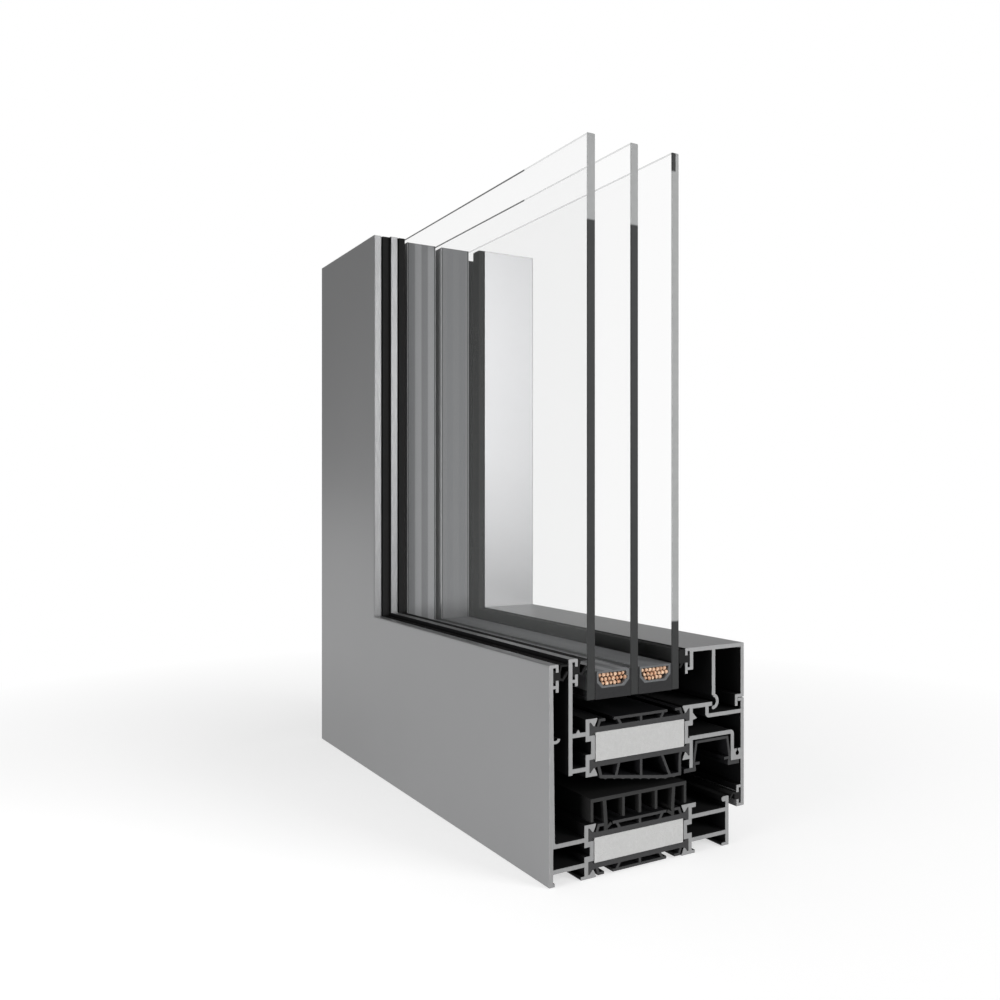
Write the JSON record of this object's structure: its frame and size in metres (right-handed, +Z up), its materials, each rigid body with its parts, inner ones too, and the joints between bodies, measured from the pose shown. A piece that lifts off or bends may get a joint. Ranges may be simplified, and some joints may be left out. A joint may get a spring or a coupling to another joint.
{
  "type": "balcony door corner sample",
  "caption": "Cut corner of a thermally broken aluminium balcony door: mitred frame and concealed sash with foam cores, insulating strips, gaskets, glazing bead and triple glazing.",
  "frame": {"origin": "centre of the bounding box at its base, the plane of the frame feet", "axes": "+Z up along the jamb, +X along the bottom rail to its sawn end, +Y from the weather side to the room"},
  "size_m": [0.267, 0.104, 0.301],
  "materials": {
    "comb_insulator": "black cellular rubber",
    "desiccant": "tan desiccant beads",
    "edge_seal": "dark grey sealant",
    "frame_foam": "off-white insulating foam",
    "frame_inner": "satin grey coated aluminium, raw at the saw cut",
    "frame_outer": "satin grey coated aluminium, raw at the saw cut",
    "frame_rebate_strip": "black glass-filled polyamide",
    "frame_wall_strip": "black glass-filled polyamide",
    "glass_pane": "clear float glass, cut edges",
    "glazing_bead": "satin grey coated aluminium, raw at the saw cut",
    "groove_liner": "black plastic",
    "inner_glazing_gasket": "black glazing gasket",
    "inner_rebate_gasket": "black weather gasket",
    "outer_glazing_gasket": "black glazing gasket",
    "outer_rebate_gasket": "black weather gasket",
    "sash_foam": "off-white insulating foam",
    "sash_glazing_strip": "black glass-filled polyamide",
    "sash_inner": "satin grey coated aluminium, raw at the saw cut",
    "sash_outer": "satin grey coated aluminium, raw at the saw cut",
    "sash_rebate_strip": "black glass-filled polyamide",
    "spacer": "grey composite spacer bar"
  },
  "bodies": {
    "root": {"comb_insulator_jamb": "comb_insulator", "comb_insulator_rail": "comb_insulator", "desiccant_inner": "desiccant", "desiccant_outer": "desiccant", "edge_seal_inner": "edge_seal", "edge_seal_outer": "edge_seal", "frame_foam_jamb": "frame_foam", "frame_foam_rail": "frame_foam", "frame_inner_jamb": "frame_inner", "frame_inner_rail": "frame_inner", "frame_outer_jamb": "frame_outer", "frame_outer_rail": "frame_outer", "frame_rebate_strip_jamb": "frame_rebate_strip", "frame_rebate_strip_rail": "frame_rebate_strip", "frame_wall_strip_jamb": "frame_wall_strip", "frame_wall_strip_rail": "frame_wall_strip", "glass_pane_inner": "glass_pane", "glass_pane_middle": "glass_pane", "glass_pane_outer": "glass_pane", "glazing_bead_jamb": "glazing_bead", "glazing_bead_rail": "glazing_bead", "groove_liner_jamb": "groove_liner", "groove_liner_rail": "groove_liner", "inner_glazing_gasket_jamb": "inner_glazing_gasket", "inner_glazing_gasket_rail": "inner_glazing_gasket", "inner_rebate_gasket_jamb": "inner_rebate_gasket", "inner_rebate_gasket_rail": "inner_rebate_gasket", "outer_glazing_gasket_jamb": "outer_glazing_gasket", "outer_glazing_gasket_rail": "outer_glazing_gasket", "outer_rebate_gasket_jamb": "outer_rebate_gasket", "outer_rebate_gasket_rail": "outer_rebate_gasket", "sash_foam_jamb": "sash_foam", "sash_foam_rail": "sash_foam", "sash_glazing_strip_jamb": "sash_glazing_strip", "sash_glazing_strip_rail": "sash_glazing_strip", "sash_inner_jamb": "sash_inner", "sash_inner_rail": "sash_inner", "sash_outer_jamb": "sash_outer", "sash_outer_rail": "sash_outer", "sash_rebate_strip_jamb": "sash_rebate_strip", "sash_rebate_strip_rail": "sash_rebate_strip", "spacer_inner": "spacer", "spacer_outer": "spacer"}
  },
  "joints": []
}
